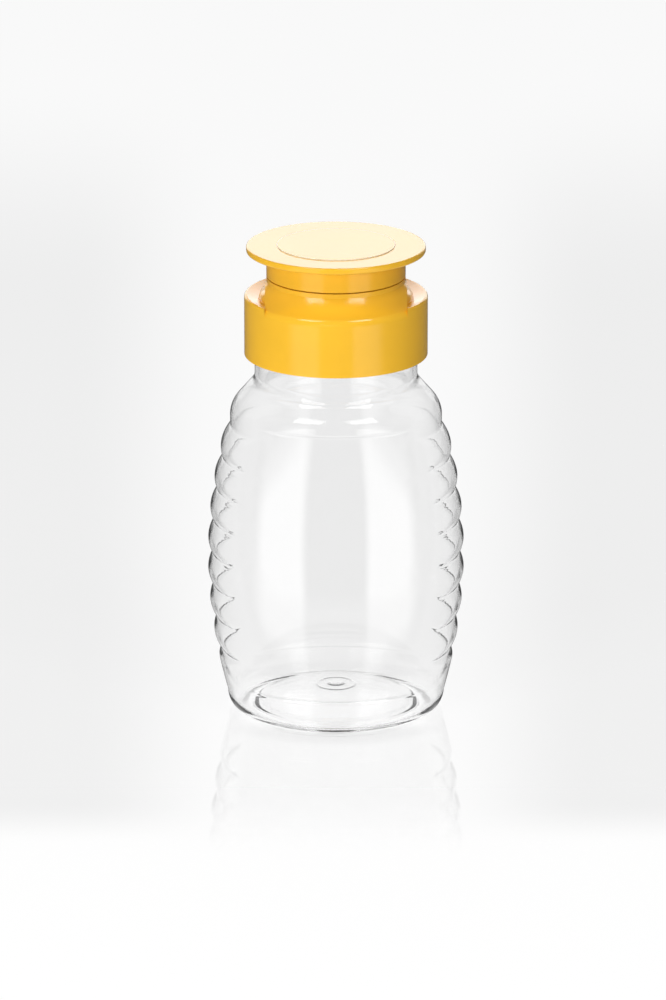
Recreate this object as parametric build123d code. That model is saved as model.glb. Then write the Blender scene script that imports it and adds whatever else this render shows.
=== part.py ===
from build123d import *
import os
from math import cos, radians, sin, sqrt

# Squeezable ribbed honey bottle, clear, with a screw closure and a flip-up lid.
# Millimetres, +Z up. The origin is the middle of the ring that the bottle stands on.
# The label panels face -Y and +Y, the thumb ramp is at -Y and the lid's hinge at +Y.

# Neck, from which the barrel and the closure take their widths
NECK_R = 19.1
NECK_HEIGHT = 7.1
NECK_WALL = 1.1

# Barrel of the bottle: what the panels, the ribs and the sides stand out from the neck
PANEL_STANDOUT = 2.9
RIB_STANDOUT = 2.8
SIDE_STANDOUT = 5.45
BARREL_ARC_R = 120.0
RIB_DEPTH_ARC_R = 430.0
WALL = 0.6
PANEL_HALF_DEPTH = NECK_R + PANEL_STANDOUT
RIB_HALF_DEPTH = PANEL_HALF_DEPTH + RIB_STANDOUT
BODY_HALF_WIDTH = RIB_HALF_DEPTH + SIDE_STANDOUT

# Ribs between the base band and the shoulder band
RIB_COUNT = 7
RIB_PITCH = 7.83
FIRST_GROOVE_Z = 14.5
GROOVE_DEPTH = 1.1
RIB_SECTION_SHARES = (0, 0.25, 0.5, 0.75, 1)
RIBS_TO_WIDEST = 3
RIBS_TO_DEEPEST = 2
BARREL_MID_Z = FIRST_GROOVE_Z + RIBS_TO_WIDEST * RIB_PITCH
RIB_DEPTH_MID_Z = FIRST_GROOVE_Z + RIBS_TO_DEEPEST * RIB_PITCH
TOP_GROOVE_Z = FIRST_GROOVE_Z + RIB_COUNT * RIB_PITCH

# Shoulder, from the top groove to the neck
SHOULDER_CROWN_RISE = 2.4
SHOULDER_DRAW_IN = 0.4
SHOULDER_ARC_R = 7.8
SHOULDER_ANGLES = (15, 30, 45)
SHOULDER_HEIGHT = 9.2
SHOULDER_CROWN_Z = TOP_GROOVE_Z + SHOULDER_CROWN_RISE
NECK_CORNER_Z = SHOULDER_CROWN_Z + SHOULDER_HEIGHT

# Label panels, front and back, set in a little from the bands above and below them
PANEL_RECESS = 0.4
PANEL_LOW_Z = 7.0
PANEL_TOP_RISE = 0.8
PANEL_SIDE_MARGIN = 0.4
PANEL_SECTION_COUNT = 5
PANEL_HIGH_Z = SHOULDER_CROWN_Z + PANEL_TOP_RISE
BAND_HALF_DEPTH = PANEL_HALF_DEPTH + PANEL_RECESS

# Base band, heel and the dome pressed up into the base
BASE_CROWN_DROP = 2.5
HEEL_HEIGHT = 4.5
HEEL_ANGLES = (0, 20, 40, 60, 78)
FOOT_DRAW_IN = 1.0
FOOT_RING_R = PANEL_HALF_DEPTH - FOOT_DRAW_IN
FOOT_RING_W = 2.4
PUSH_UP_RIM_H = 1.1
PUSH_UP_H = 4.6
FLOOR_THICKNESS = 1.0
GATE_R = 1.6
GATE_H = 0.4

# Thread, the ridge on the neck and the ridge in the skirt half a pitch below it
THREAD_HEIGHT = 1.2
THREAD_PITCH = 4.233
THREAD_ROOT_W = 2.4
THREAD_TIP_W = 1.2
THREAD_TURNS = 1.25
THREAD_SINK = 0.3
THREAD_LEDGE_GAP = 0.3
CAP_THREAD_ROOT_W = 2.2
CAP_THREAD_TIP_W = 1.0
CAP_THREAD_CLEARANCE = 0.35

# 38 mm finish above the neck, as tall as its thread needs
FINISH_STEP_IN = 1.55
FINISH_WALL = 1.65
FINISH_LEAD_IN = 0.192
FINISH_CONE_H = 1.6
FINISH_ROOT_R = NECK_R - FINISH_STEP_IN
FINISH_BORE_R = FINISH_ROOT_R - FINISH_WALL
FINISH_LEDGE_Z = NECK_CORNER_Z + NECK_HEIGHT
CAP_THREAD_START_Z = FINISH_LEDGE_Z + THREAD_LEDGE_GAP + CAP_THREAD_ROOT_W / 2
NECK_THREAD_START_Z = CAP_THREAD_START_Z + THREAD_PITCH / 2
NECK_THREAD_END_Z = NECK_THREAD_START_Z + THREAD_PITCH * THREAD_TURNS
FINISH_TOP_Z = NECK_THREAD_END_Z + THREAD_ROOT_W / 2 + FINISH_LEAD_IN

# Closure body: skirt and collar
SKIRT_CLEARANCE = 0.3
SKIRT_WALL = 2.1
SKIRT_LAP = 1.4
LINER_T = 0.8
DECK_THICKNESS = 2.0
COLLAR_ROUND = 0.6
COLLAR_DISH = 0.7
SKIRT_BORE_R = NECK_R + SKIRT_CLEARANCE
SKIRT_R = SKIRT_BORE_R + SKIRT_WALL
SKIRT_LOW_Z = FINISH_LEDGE_Z - SKIRT_LAP
DECK_LOW_Z = FINISH_TOP_Z + LINER_T
COLLAR_Z = DECK_LOW_Z + DECK_THICKNESS

# Closure body: tower, thumb ramp and the land that the lid closes on
TOWER_HEIGHT = 4.5
TOWER_WALL = 1.6
TOWER_STEP_IN = 5.2
SEAM_GAP = 0.3
FLARE_SPREAD = 1.75
FLARE_HEIGHT = 2.7
RAMP_SIDE_MARGIN = 0.3
RAMP_HEIGHT = 3.3
RAMP_SAG = 0.35
RAMP_FOOT_DROP = 0.5
RAMP_FOOT_IN = 0.8
RAMP_EDGE_DROP = 1.6
TOP_DECK_THICKNESS = 1.2
SEAM_Z = COLLAR_Z + TOWER_HEIGHT
SEAM_R = SKIRT_R - TOWER_STEP_IN
FLARE_R = SEAM_R + FLARE_SPREAD
RAMP_HALF_WIDTH = SEAM_R + RAMP_SIDE_MARGIN
LAND_Z = SEAM_Z - SEAM_GAP / 2
VALVE_SEAT_Z = LAND_Z - TOP_DECK_THICKNESS

# Flip lid
LID_HEIGHT = 7.5
LID_WALL = 1.3
LID_FILLET = 1.2
DISC_DRAW_IN = 0.5
DISC_T = 1.7
DISC_ROUND = 0.45
DISC_STEP_IN = 2.5
DISC_STEP_H = 0.2
DISC_R = SKIRT_R - DISC_DRAW_IN
DISC_STEP_R = SEAM_R - DISC_STEP_IN
LID_BORE_R = SEAM_R - LID_WALL
LID_LOW_Z = SEAM_Z + SEAM_GAP / 2
DISC_TOP_Z = SEAM_Z + LID_HEIGHT
DISC_LOW_Z = DISC_TOP_Z - DISC_T

# Spigot inside the lid, orifice with its lip, and the lid's plug in the orifice
SPIGOT_CLEARANCE = 0.4
SPIGOT_R = LID_BORE_R - SPIGOT_CLEARANCE
SPIGOT_WALL = 1.2
SPIGOT_H = 2.0
SPIGOT_BEAD = 0.12
ORIFICE_R = 6.2
LIP_WALL = 1.0
LIP_H = 0.9
PLUG_CLEARANCE = 0.3
PLUG_WALL = 0.9
PLUG_REACH = 0.35

# Silicone valve, the ring that retains it and the holder that both sit in
RETAINER_STEP_OUT = 0.4
RETAINER_T = 1.8
RETAINER_FIT = 0.05
VALVE_FLANGE_LAP = 2.7
VALVE_FLANGE_T = 1.4
VALVE_HEAD_CLEARANCE = 1.3
VALVE_HEAD_DROP = 1.0
VALVE_HEAD_T = 0.8
VALVE_SLIT_MARGIN = 1.7
VALVE_SLIT_W = 0.12
HOLDER_CLEARANCE = 0.3
HOLDER_WALL = 1.3
HOLDER_BEAD = 0.25
HOLDER_BEAD_H = 0.3
RETAINER_BORE_R = ORIFICE_R + RETAINER_STEP_OUT
VALVE_FLANGE_R = RETAINER_BORE_R + VALVE_FLANGE_LAP
VALVE_HEAD_R = ORIFICE_R - VALVE_HEAD_CLEARANCE
VALVE_SLIT_LENGTH = 2 * (VALVE_HEAD_R - VALVE_SLIT_MARGIN)
HOLDER_BORE_R = VALVE_FLANGE_R + HOLDER_CLEARANCE
RETAINER_TOP_Z = VALVE_SEAT_Z - VALVE_FLANGE_T

# Foam ring on top of the neck
LINER_BORE_CLEARANCE = 0.1
LINER_EDGE_CLEARANCE = 0.7

# Hinge at the back: two lugs that meet on a round film
HINGE_STANDOFF = 0.55
HINGE_FILM_R = 0.45
HINGE_CLEARANCE = 0.05
HINGE_HALF_WIDTH = 7.0
HINGE_LUG_INSET = 0.06
HINGE_LUG_SINK = 0.3
LID_LUG_H = 2.2
HINGE_Y = FLARE_R + HINGE_STANDOFF

CUT_OVERRUN = 1.0


def barrel_half_width(z):
    """Half width of the barrel's outline at height z, at the crowns of the ribs."""
    return BODY_HALF_WIDTH - (z - BARREL_MID_Z) ** 2 / (2 * BARREL_ARC_R)


def rib_half_depth(z):
    """Half depth that the grooves' ovals would reach if no label panel cut them."""
    return RIB_HALF_DEPTH - (z - RIB_DEPTH_MID_Z) ** 2 / (2 * RIB_DEPTH_ARC_R)


def loft_ovals(sections):
    """Smooth solid through level ovals, each given as (z, half width, half depth)."""
    faces = []
    for z, half_width, half_depth in sections:
        faces.append(Plane.XY.offset(z) * Ellipse(half_width, half_depth))
    return loft(faces)


def rib_sections(low_z, inset):
    """Ovals of one rib, a convex arc between two sharp grooves."""
    sections = []
    for share in RIB_SECTION_SHARES:
        z = low_z + share * RIB_PITCH
        rise = GROOVE_DEPTH * (1 - (2 * share - 1) ** 2)
        half_width = barrel_half_width(z) - GROOVE_DEPTH + rise
        half_depth = rib_half_depth(z) + rise
        sections.append((z, half_width - inset, half_depth - inset))
    return sections


def base_band_sections(inset):
    """Ovals of the base band, from the top of the heel to the lowest groove."""
    crown_z = FIRST_GROOVE_Z - BASE_CROWN_DROP
    groove_width = barrel_half_width(FIRST_GROOVE_Z) - GROOVE_DEPTH
    groove_depth = rib_half_depth(FIRST_GROOVE_Z)
    crown_depth = (groove_depth + BAND_HALF_DEPTH) / 2
    outline = (
        (HEEL_HEIGHT, barrel_half_width(HEEL_HEIGHT), BAND_HALF_DEPTH),
        (PANEL_LOW_Z, barrel_half_width(PANEL_LOW_Z), BAND_HALF_DEPTH),
        (crown_z, barrel_half_width(crown_z), crown_depth),
        (FIRST_GROOVE_Z, groove_width, groove_depth),
    )
    return [(z, width - inset, depth - inset) for z, width, depth in outline]


def heel_sections(inset, floor_z):
    """Ovals of the heel, which turns from the round foot ring into the oval base band."""
    width_gain = barrel_half_width(HEEL_HEIGHT) - FOOT_RING_R
    depth_gain = BAND_HALF_DEPTH - FOOT_RING_R
    sections = [(floor_z, FOOT_RING_R - inset, FOOT_RING_R - inset)]
    for angle in reversed(HEEL_ANGLES):
        out = cos(radians(angle))
        z = floor_z + (HEEL_HEIGHT - floor_z) * (1 - sin(radians(angle)))
        half_width = FOOT_RING_R + width_gain * out
        half_depth = FOOT_RING_R + depth_gain * out
        sections.append((z, half_width - inset, half_depth - inset))
    return sections


def shoulder_sections(inset):
    """Ovals of the shoulder band, from the top groove to the round foot of the neck."""
    crown_width = barrel_half_width(SHOULDER_CROWN_Z) - SHOULDER_DRAW_IN
    groove_width = barrel_half_width(TOP_GROOVE_Z) - GROOVE_DEPTH
    outline = [
        (TOP_GROOVE_Z, groove_width, rib_half_depth(TOP_GROOVE_Z)),
        (SHOULDER_CROWN_Z, crown_width, BAND_HALF_DEPTH),
    ]
    depth_share = (BAND_HALF_DEPTH - NECK_R) / (crown_width - NECK_R)
    for angle in SHOULDER_ANGLES:
        half_width = crown_width - SHOULDER_ARC_R * (1 - cos(radians(angle)))
        z = SHOULDER_CROWN_Z + SHOULDER_ARC_R * sin(radians(angle))
        outline.append((z, half_width, NECK_R + depth_share * (half_width - NECK_R)))
    outline.append((NECK_CORNER_Z, NECK_R, NECK_R))
    return [(z, width - inset, depth - inset) for z, width, depth in outline]


def panel_cutter(inset):
    """What lies outside the label panels, over the height of the panels."""
    height = PANEL_HIGH_Z - PANEL_LOW_Z
    sections = []
    for index in range(PANEL_SECTION_COUNT):
        z = PANEL_LOW_Z + height * index / (PANEL_SECTION_COUNT - 1)
        half_width = barrel_half_width(z) + PANEL_SIDE_MARGIN
        sections.append((z, half_width - inset, PANEL_HALF_DEPTH - inset))
    reach = 2 * (BODY_HALF_WIDTH + PANEL_SIDE_MARGIN)
    slab = Pos(0, 0, PANEL_LOW_Z) * extrude(Rectangle(2 * reach, reach), height)
    return slab - loft_ovals(sections)


def body_solid(inset, floor_z):
    """The bottle's solid shape up to the neck, drawn in by inset for its inside."""
    solid = loft_ovals(heel_sections(inset, floor_z))
    solid += loft_ovals(base_band_sections(inset))
    for index in range(RIB_COUNT):
        solid += loft_ovals(rib_sections(FIRST_GROOVE_Z + index * RIB_PITCH, inset))
    solid += loft_ovals(shoulder_sections(inset))
    return solid - panel_cutter(inset)


def revolved(points):
    """Solid of revolution about Z from (radius, z) corners."""
    return revolve(Plane.XZ * make_face(Polyline(*points, close=True)), Axis.Z)


def ring(inner_r, outer_r, low_z, high_z):
    """Plain ring about Z."""
    return Pos(0, 0, low_z) * extrude(Circle(outer_r) - Circle(inner_r), high_z - low_z)


def disc(radius, low_z, high_z):
    """Plain cylinder about Z."""
    return Pos(0, 0, low_z) * extrude(Circle(radius), high_z - low_z)


def dome_arc(rim, crown_z):
    """Arc of the base's dome, from its rim (radius, z) up to the crown on the axis."""
    drop = crown_z - rim[1]
    dome_r = (rim[0] ** 2 + drop ** 2) / (2 * drop)
    middle_r = rim[0] / 2
    middle_z = crown_z - dome_r + sqrt(dome_r ** 2 - middle_r ** 2)
    return ThreePointArc(rim, (middle_r, middle_z), (0, crown_z))


def base_dome():
    """Floor of the bottle: a dome pressed up inside the foot ring, with the gate mark under it."""
    foot_r = FOOT_RING_R - FOOT_RING_W
    low_rim = (foot_r, PUSH_UP_RIM_H)
    high_rim = (foot_r - FLOOR_THICKNESS, PUSH_UP_RIM_H + FLOOR_THICKNESS)
    foot = (foot_r + FLOOR_THICKNESS, 0)
    shoulder = (foot[0], FLOOR_THICKNESS / 2)
    crown_z = PUSH_UP_H + FLOOR_THICKNESS
    face = make_face([
        Line((foot_r, 0), foot),
        Line(foot, shoulder),
        Line(shoulder, high_rim),
        dome_arc(high_rim, crown_z),
        Line((0, crown_z), (0, PUSH_UP_H)),
        dome_arc(low_rim, PUSH_UP_H),
        Line(low_rim, (foot_r, 0)),
    ])
    gate = disc(GATE_R, PUSH_UP_H - GATE_H, PUSH_UP_H + FLOOR_THICKNESS / 2)
    return revolve(Plane.XZ * face, Axis.Z) + gate


def thread_ridge(root_r, tip_r, root_width, tip_width, start_z):
    """Helical ridge of a thread, with its flanks run a little way into the wall under it."""
    height = tip_r - root_r
    sunk_share = 1 + THREAD_SINK / abs(height)
    sunk_r = tip_r - height * sunk_share
    sunk_width = tip_width + (root_width - tip_width) * sunk_share
    path = Helix(THREAD_PITCH, THREAD_PITCH * THREAD_TURNS, root_r)
    corners = [
        (sunk_r, -sunk_width / 2),
        (tip_r, -tip_width / 2),
        (tip_r, tip_width / 2),
        (sunk_r, sunk_width / 2),
    ]
    profile = Plane.XZ * make_face(Polyline(*corners, close=True))
    return Pos(0, 0, start_z) * sweep(profile, path=path, is_frenet=True)


def neck_finish():
    """Neck above the shoulder, solid, with the thread that the closure screws on."""
    finish = disc(FINISH_ROOT_R, FINISH_LEDGE_Z, FINISH_TOP_Z) + thread_ridge(
        FINISH_ROOT_R, FINISH_ROOT_R + THREAD_HEIGHT, THREAD_ROOT_W, THREAD_TIP_W,
        NECK_THREAD_START_Z)
    return finish + disc(NECK_R, NECK_CORNER_Z, FINISH_LEDGE_Z)


def neck_bore():
    """Room inside the neck, from the shoulder to past the mouth."""
    inner_r = NECK_R - NECK_WALL
    cone_z = FINISH_LEDGE_Z - FINISH_CONE_H / 2
    return revolved([
        (0, NECK_CORNER_Z),
        (NECK_R - WALL, NECK_CORNER_Z),
        (inner_r, NECK_CORNER_Z + NECK_WALL),
        (inner_r, cone_z),
        (FINISH_BORE_R, cone_z + FINISH_CONE_H),
        (FINISH_BORE_R, FINISH_TOP_Z + CUT_OVERRUN),
        (0, FINISH_TOP_Z + CUT_OVERRUN),
    ])


def make_bottle():
    """Clear bottle: ribbed barrel, shoulder, neck finish with its thread, hollow all through."""
    outside = body_solid(0, 0) + neck_finish()
    inside = body_solid(WALL, FLOOR_THICKNESS) + neck_bore()
    hole_r = FOOT_RING_R - FOOT_RING_W + FLOOR_THICKNESS / 2
    hole = disc(hole_r, -CUT_OVERRUN, FLOOR_THICKNESS + CUT_OVERRUN)
    return outside - inside - hole + base_dome()


def make_closure_body():
    """Screw closure: threaded skirt, collar, flared tower, thumb ramp, spigot and valve holder."""
    body = closure_outside() - ramp_notch() + thumb_ramp()
    body += hinge_lug(COLLAR_Z - COLLAR_DISH, LAND_Z)
    body -= closure_inside()
    spigot_middle_z = LAND_Z + SPIGOT_H / 2
    body += ring(SPIGOT_R - SPIGOT_WALL, SPIGOT_R, LAND_Z, LAND_Z + SPIGOT_H)
    body += ring(SPIGOT_R - SPIGOT_WALL / 2, SPIGOT_R + SPIGOT_BEAD,
                 spigot_middle_z, spigot_middle_z + SPIGOT_WALL / 2)
    body += ring(ORIFICE_R, ORIFICE_R + LIP_WALL, LAND_Z, LAND_Z + LIP_H)
    holder_low_z = RETAINER_TOP_Z - RETAINER_T - HOLDER_BEAD_H
    holder_r = HOLDER_BORE_R + HOLDER_WALL
    body += ring(HOLDER_BORE_R, holder_r, holder_low_z, VALVE_SEAT_Z)
    body += ring(HOLDER_BORE_R - HOLDER_BEAD, holder_r, holder_low_z, holder_low_z + HOLDER_BEAD_H)
    body -= disc(ORIFICE_R, VALVE_SEAT_Z - CUT_OVERRUN, LAND_Z + CUT_OVERRUN)
    body -= hinge_film(HINGE_CLEARANCE, HINGE_HALF_WIDTH + CUT_OVERRUN)
    return body + thread_ridge(
        SKIRT_BORE_R, FINISH_ROOT_R + CAP_THREAD_CLEARANCE, CAP_THREAD_ROOT_W, CAP_THREAD_TIP_W,
        CAP_THREAD_START_Z)


def closure_outside():
    """Skirt, collar and flared tower, solid."""
    flare_foot = (FLARE_R, COLLAR_Z - COLLAR_DISH)
    flare_top = (SEAM_R, COLLAR_Z + FLARE_HEIGHT)
    skirt_top = (SKIRT_R, COLLAR_Z - COLLAR_ROUND)
    collar_edge = (SKIRT_R - COLLAR_ROUND, COLLAR_Z)
    return revolve(Plane.XZ * make_face([
        Line((0, SKIRT_LOW_Z), (SKIRT_R, SKIRT_LOW_Z)),
        Line((SKIRT_R, SKIRT_LOW_Z), skirt_top),
        RadiusArc(skirt_top, collar_edge, -COLLAR_ROUND),
        Line(collar_edge, flare_foot),
        Spline(flare_foot, flare_top, tangents=((0, 1), (0, 1))),
        Line(flare_top, (SEAM_R, LAND_Z)),
        Line((SEAM_R, LAND_Z), (0, LAND_Z)),
        Line((0, LAND_Z), (0, SKIRT_LOW_Z)),
    ]), Axis.Z)


def closure_inside():
    """Room inside the closure: the skirt's bore and the chamber under the top deck."""
    return revolved([
        (0, SKIRT_LOW_Z - CUT_OVERRUN),
        (SKIRT_BORE_R, SKIRT_LOW_Z - CUT_OVERRUN),
        (SKIRT_BORE_R, DECK_LOW_Z),
        (FLARE_R - TOWER_WALL, DECK_LOW_Z),
        (FLARE_R - TOWER_WALL, COLLAR_Z),
        (SEAM_R - TOWER_WALL, VALVE_SEAT_Z),
        (0, VALVE_SEAT_Z),
    ])


def front_slab(low_z):
    """Everything in front of the axis, as wide as the thumb ramp, from low_z up."""
    slab = extrude(Rectangle(2 * RAMP_HALF_WIDTH, 2 * SKIRT_R), SKIRT_R)
    return Pos(0, -SKIRT_R, low_z) * slab


def ramp_notch():
    """Room that the thumb ramp takes out of the collar's rim."""
    low_z = COLLAR_Z - RAMP_FOOT_DROP - RAMP_EDGE_DROP
    return ring(FLARE_R, SKIRT_R + CUT_OVERRUN, low_z, COLLAR_Z + CUT_OVERRUN) & front_slab(low_z)


def thumb_ramp():
    """Hollow-curved ramp at the front, from the tower down over the rounded edge of the skirt."""
    foot = (SKIRT_R - RAMP_FOOT_IN, COLLAR_Z - RAMP_FOOT_DROP)
    edge = (SKIRT_R, foot[1] - RAMP_EDGE_DROP)
    top = (SEAM_R, COLLAR_Z + RAMP_HEIGHT)
    run, rise = foot[0] - top[0], top[1] - foot[1]
    chord = sqrt(run ** 2 + rise ** 2)
    middle = ((foot[0] + top[0]) / 2 - RAMP_SAG * rise / chord,
              (foot[1] + top[1]) / 2 - RAMP_SAG * run / chord)
    inner_r = SEAM_R - TOWER_WALL / 2
    face = make_face([
        Line((inner_r, edge[1]), edge),
        TangentArc(edge, foot, tangent=(0, 1)),
        ThreePointArc(foot, middle, top),
        Line(top, (inner_r, top[1])),
        Line((inner_r, top[1]), (inner_r, edge[1])),
    ])
    return revolve(Plane.XZ * face, Axis.Z) & front_slab(edge[1])


def hinge_film(grown, half_width):
    """The round film on the hinge line, made thicker by grown to cut its seats."""
    film = extrude(Circle(HINGE_FILM_R + grown), half_width, both=True)
    return Pos(0, HINGE_Y, SEAM_Z) * (Rot(0, 90, 0) * film)


def hinge_lug(low_z, high_z):
    """Block behind the tower, from inside its wall out to the hinge line."""
    outer_y = HINGE_Y - HINGE_LUG_INSET
    inner_y = sqrt(SEAM_R ** 2 - HINGE_HALF_WIDTH ** 2) - HINGE_LUG_SINK
    block = extrude(Rectangle(2 * HINGE_HALF_WIDTH, outer_y - inner_y), high_z - low_z)
    lug = Pos(0, (inner_y + outer_y) / 2, low_z) * block
    return lug - disc(LID_BORE_R + HINGE_LUG_SINK, low_z, high_z)


def make_flip_lid():
    """Lid: neck wall, wide disc with a low round step on top, sealing plug and hinge lug."""
    plate = disc(DISC_R, DISC_LOW_Z, DISC_TOP_Z - DISC_STEP_H)
    plate = fillet(plate.edges().filter_by(GeomType.CIRCLE), DISC_ROUND)
    lid = plate + disc(DISC_STEP_R, DISC_LOW_Z, DISC_TOP_Z)
    lid += ring(LID_BORE_R, SEAM_R, LID_LOW_Z, DISC_LOW_Z)
    lid += lid_fillet()
    plug_r = ORIFICE_R - PLUG_CLEARANCE
    lid += ring(plug_r - PLUG_WALL, plug_r, LAND_Z - PLUG_REACH, DISC_LOW_Z)
    lid += hinge_lug(LID_LOW_Z, LID_LOW_Z + LID_LUG_H)
    return lid - hinge_film(HINGE_CLEARANCE, HINGE_HALF_WIDTH + CUT_OVERRUN)


def lid_fillet():
    """Rounded corner between the lid's neck and the underside of its disc."""
    corner = (SEAM_R, DISC_LOW_Z)
    out = (SEAM_R + LID_FILLET, DISC_LOW_Z)
    down = (SEAM_R, DISC_LOW_Z - LID_FILLET)
    face = make_face([Line(corner, out), RadiusArc(out, down, LID_FILLET), Line(down, corner)])
    return revolve(Plane.XZ * face, Axis.Z)


def make_living_hinge():
    """Film on which the lid turns."""
    return hinge_film(0, HINGE_HALF_WIDTH)


def make_dispensing_valve():
    """Silicone valve: a flange round a dished head that a cross slit cuts."""
    valve = ring(VALVE_HEAD_R, VALVE_FLANGE_R, RETAINER_TOP_Z, VALVE_SEAT_Z)
    rim_z = RETAINER_TOP_Z + VALVE_HEAD_DROP
    low_z = RETAINER_TOP_Z - VALVE_HEAD_T
    valve += revolved([
        (0, RETAINER_TOP_Z),
        (VALVE_HEAD_R, rim_z),
        (VALVE_HEAD_R, rim_z - VALVE_HEAD_T),
        (0, low_z),
    ])
    for angle in (0, 90):
        slit = extrude(Rectangle(VALVE_SLIT_LENGTH, VALVE_SLIT_W), 2 * VALVE_FLANGE_T)
        valve -= Pos(0, 0, low_z - VALVE_SLIT_W) * (Rot(0, 0, angle) * slit)
    return valve


def make_valve_retainer():
    """Ring that holds the valve's flange up against its seat."""
    outer_r = HOLDER_BORE_R - RETAINER_FIT
    return ring(RETAINER_BORE_R, outer_r, RETAINER_TOP_Z - RETAINER_T, RETAINER_TOP_Z)


def make_neck_liner():
    """Foam ring between the top of the neck and the closure's deck."""
    bore_r = FINISH_BORE_R + LINER_BORE_CLEARANCE
    return ring(bore_r, SKIRT_BORE_R - LINER_EDGE_CLEARANCE, FINISH_TOP_Z, DECK_LOW_Z)


parts = {
    "bottle": make_bottle(),
    "closure_body": make_closure_body(),
    "flip_lid": make_flip_lid(),
    "living_hinge": make_living_hinge(),
    "dispensing_valve": make_dispensing_valve(),
    "valve_retainer": make_valve_retainer(),
    "neck_liner": make_neck_liner(),
}

os.makedirs("parts", exist_ok=True)
for name, shape in parts.items():
    export_step(shape, f"parts/{name}.step")
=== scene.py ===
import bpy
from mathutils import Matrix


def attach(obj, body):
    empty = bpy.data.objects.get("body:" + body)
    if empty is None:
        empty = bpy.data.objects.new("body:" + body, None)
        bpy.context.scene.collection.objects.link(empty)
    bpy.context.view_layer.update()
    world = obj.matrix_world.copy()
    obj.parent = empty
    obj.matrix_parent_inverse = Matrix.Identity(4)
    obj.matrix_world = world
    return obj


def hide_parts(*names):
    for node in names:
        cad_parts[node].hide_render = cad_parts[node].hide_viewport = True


bl_info = {
    "name": "Ribbed Honey Bottle Looks",
    "version": (1, 0, 0),
    "blender": (4, 5, 0),
    "location": "3D View > Sidebar > Honey Bottle",
    "description": "Dresses the clear ribbed honey bottle and its yellow flip-top closure",
    "category": "Object",
}

from math import atan2, cos, pi, radians, sin, sqrt, tan, tau

import bmesh
import bpy
from bpy.props import FloatProperty, FloatVectorProperty, IntProperty, PointerProperty
from mathutils import Vector

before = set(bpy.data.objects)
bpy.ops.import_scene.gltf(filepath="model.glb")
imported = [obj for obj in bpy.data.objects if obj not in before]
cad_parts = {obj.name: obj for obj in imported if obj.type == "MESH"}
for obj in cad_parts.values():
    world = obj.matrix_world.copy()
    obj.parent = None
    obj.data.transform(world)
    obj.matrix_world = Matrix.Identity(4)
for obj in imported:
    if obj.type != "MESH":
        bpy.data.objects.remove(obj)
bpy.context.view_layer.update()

CLOSURE_NODES = ("closure_body", "flip_lid", "living_hinge")


class StageSizes(bpy.types.PropertyGroup):
    """Sizes of the picture and its light."""

    camera_distance: FloatProperty(
        name="Camera distance", description="From the camera to the middle of the bottle",
        default=1.95, min=0.5, max=10, unit="LENGTH")
    camera_elevation: FloatProperty(
        name="Camera elevation", description="Angle at which the camera looks down",
        default=radians(17.25), min=0, max=radians(80), subtype="ANGLE")
    camera_aim_height: FloatProperty(
        name="Aim height", description="Height on the bottle that the picture centres on",
        default=0.0504, min=0, max=0.2, unit="LENGTH")
    camera_aim_side: FloatProperty(
        name="Aim side", description="How far left of the bottle's axis the picture centres",
        default=-0.0007, min=-0.1, max=0.1, unit="LENGTH")
    picture_height: FloatProperty(
        name="Picture height", description="Height that the picture takes in at the bottle",
        default=0.2358, min=0.05, max=2, unit="LENGTH")
    front_light: FloatProperty(
        name="Front light", description="Power of each of the two softboxes at the front",
        default=3.0, min=0, max=200, subtype="POWER")
    high_light: FloatProperty(
        name="High light", description="Power of each of the two high softboxes over the closure",
        default=3.0, min=0, max=200, subtype="POWER")
    fill_light: FloatProperty(
        name="Fill light", description="Power of the soft light from the camera's left",
        default=15.0, min=0, max=200, subtype="POWER")
    back_light: FloatProperty(
        name="Back light", description="Power of the wide softbox behind the bottle",
        default=3.35, min=0, max=200, subtype="POWER")
    room_light: FloatProperty(
        name="Room light", description="Strength of the even light from all around",
        default=0.45, min=0, max=3, subtype="FACTOR")
    gloss_room: FloatProperty(
        name="Room in gloss", description="Brightness of the room as glossy surfaces mirror it",
        default=0.15, min=0, max=3, subtype="FACTOR")
    floor_glow: FloatProperty(
        name="Floor glow", description="Brightness that the camera sees the floor at, shadow aside",
        default=1.06, min=0, max=3, subtype="FACTOR")
    screen_light: FloatProperty(
        name="Side screens", description="Brightness of the two tall screens as they are mirrored",
        default=1.27, min=0, max=5, subtype="FACTOR")


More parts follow.
